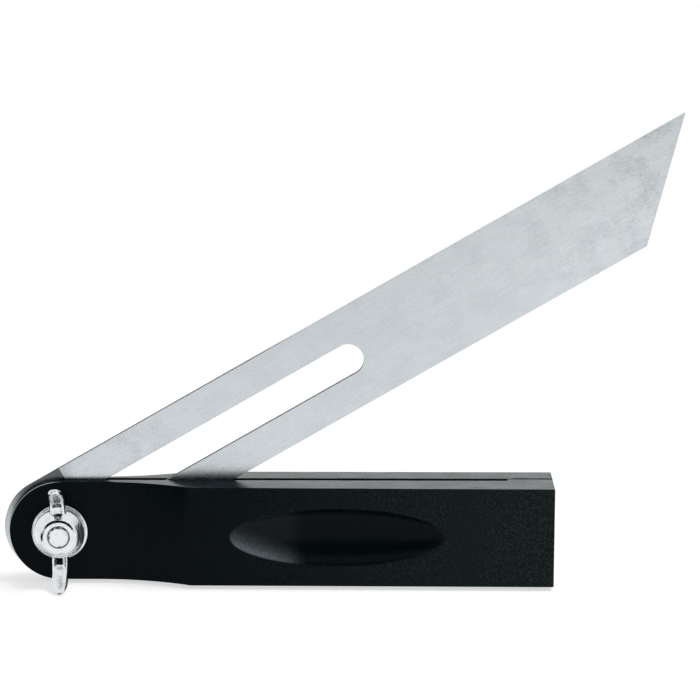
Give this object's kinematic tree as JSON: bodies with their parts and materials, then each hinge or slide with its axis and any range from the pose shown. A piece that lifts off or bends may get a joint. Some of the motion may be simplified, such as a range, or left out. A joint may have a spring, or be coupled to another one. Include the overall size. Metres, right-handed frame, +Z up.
{
  "type": "sliding bevel",
  "caption": "Sliding bevel: slotted steel blade with a mitred tip, clamped by a wing nut between the halves of a moulded handle with thumb scoops.",
  "frame": {"origin": "on the surface the tool stands on, under the middle of its bounding box", "axes": "+X along the handle from the pivot to the square end, +Y away from the wing nut's side through the handle's thickness, +Z up"},
  "size_m": [0.1722, 0.0236, 0.1222],
  "materials": {
    "black_plastic": "moulded, finely textured, satin",
    "blade_steel": "ground, faint streaks and mottling",
    "bright_plate": "bright zinc plate",
    "dull_plate": "plain zinc plate"
  },
  "bodies": {
    "handle": {"front_half": "black_plastic", "back_half": "black_plastic", "clamp_bolt": "bright_plate", "upper_screw": "dull_plate", "lower_screw": "dull_plate"},
    "friction_washers": {"front_friction_washer": "dull_plate", "back_friction_washer": "dull_plate"},
    "blade": {"blade": "blade_steel"},
    "washer": {"flat_washer": "bright_plate"},
    "wing_nut": {"wing_nut": "bright_plate"}
  },
  "joints": [
    {"name": "blade_swing", "type": "hinge", "parent": "handle", "child": "friction_washers", "pos_m": [-0.07184, 0.00381, 0.01392], "axis": [0, -1, 0], "range_deg": [-18, 316]},
    {"name": "blade_slide", "type": "slide", "parent": "friction_washers", "child": "blade", "axis": [-0.8634, 0, -0.5045], "range_m": [-0.0013, 0.086]},
    {"name": "washer_slide", "type": "slide", "parent": "handle", "child": "washer", "axis": [0, -1, 0], "range_m": [0, 0.0016]},
    {"name": "wing_nut_turn", "type": "hinge", "parent": "washer", "child": "wing_nut", "pos_m": [-0.07184, 0.00381, 0.01392], "axis": [0, -1, 0], "range_deg": [0, 720]}
  ],
  "couplings": [
    {"joint": "washer_slide", "follows": "wing_nut_turn", "m_per_rad": 0.00012732}
  ]
}
